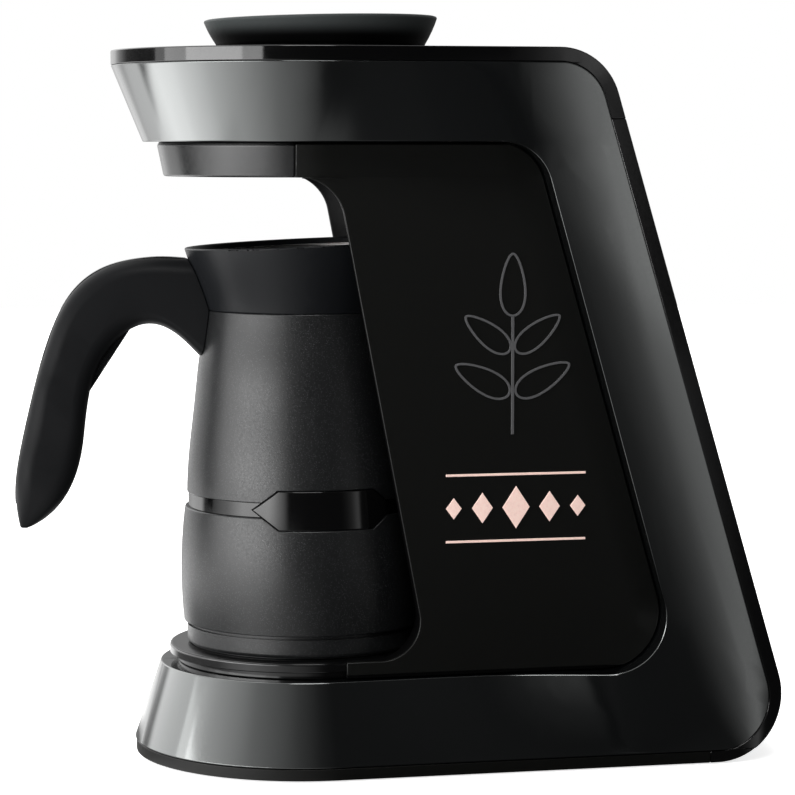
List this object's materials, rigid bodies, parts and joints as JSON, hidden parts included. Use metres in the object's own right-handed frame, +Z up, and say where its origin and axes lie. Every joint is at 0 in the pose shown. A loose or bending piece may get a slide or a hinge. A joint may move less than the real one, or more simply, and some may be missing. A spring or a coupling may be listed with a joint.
{
  "type": "electric turkish coffee maker",
  "caption": "C-shaped electric Turkish coffee maker with a big round start button, a foam sensor housing and a handled jug that lifts off and turns on its base connector.",
  "frame": {"origin": "on the table, in the middle of the footprint box in plan", "axes": "+Z up; -Y is the front, where the jug's handle points; +X is to the right seen from the front"},
  "size_m": [0.1474, 0.2914, 0.2834],
  "materials": {
    "gloss_black": "high gloss black moulding",
    "satin_black": "satin near-black moulding",
    "drum_black": "satin dark grey-black moulding",
    "jug_matte": "matte black with a fine sparkle grain",
    "button_grey": "satin slate grey",
    "grip_matte": "matte soft-grained black",
    "steel": "brushed stainless steel",
    "aluminium": "cast, satin",
    "brass": "plain",
    "rubber": "matte",
    "board_green": "glass-fibre circuit board",
    "inner_grey": "unpainted inner moulding",
    "lens": "dark red window",
    "light": "milky light guide"
  },
  "bodies": {
    "machine": {"top_cover": "gloss_black", "back_cover": "gloss_black", "base_plate": "satin_black", "side_cover_right": "gloss_black", "side_cover_left": "gloss_black", "side_panel_right": "satin_black", "side_panel_left": "satin_black", "bay_liner": "gloss_black", "sensor_housing": "drum_black", "jug_platform": "gloss_black", "base_connector": "inner_grey", "contact_rings": "brass", "contact_pin": "brass", "light_ring": "light", "button_guide": "inner_grey", "button_board": "board_green", "tact_switch": "inner_grey", "buzzer": "inner_grey", "sensor_lens": "lens", "sensor_board": "board_green", "main_board": "board_green", "board_rails": "inner_grey", "power_board": "board_green", "inlet_grommet": "rubber", "cable_clamp": "inner_grey", "rubber_feet": "rubber", "base_screws": "steel"},
    "start_button": {"button_cap": "button_grey", "button_stem": "inner_grey", "button_spring": "steel"},
    "lift_socket": {"jug_socket": "inner_grey", "socket_contacts": "brass"},
    "jug": {"rim_collar": "jug_matte", "upper_shell": "jug_matte", "lower_shell": "jug_matte", "jug_belt": "gloss_black", "jug_plaques": "gloss_black", "foot_cover": "jug_matte", "inner_pot": "steel", "heater_plate": "aluminium", "heater_element": "steel", "thermostat": "steel", "pot_seal": "rubber", "handle_grip": "grip_matte", "handle_strip": "gloss_black", "handle_screws": "steel"}
  },
  "joints": [
    {"name": "start_button_press", "type": "slide", "parent": "machine", "child": "start_button", "axis": [0, 0, -1], "range_m": [0, 0.0012], "stiffness_N_per_m": 600, "springref_m": -0.002, "deforming": ["button_spring"]},
    {"name": "jug_lift", "type": "slide", "parent": "machine", "child": "lift_socket", "axis": [0, 0, 1], "range_m": [0, 0.02]},
    {"name": "jug_turn", "type": "hinge", "parent": "lift_socket", "child": "jug", "pos_m": [0, -0.03411, 0.05], "axis": [0, 0, 1], "range_deg": [-75, 75]}
  ]
}
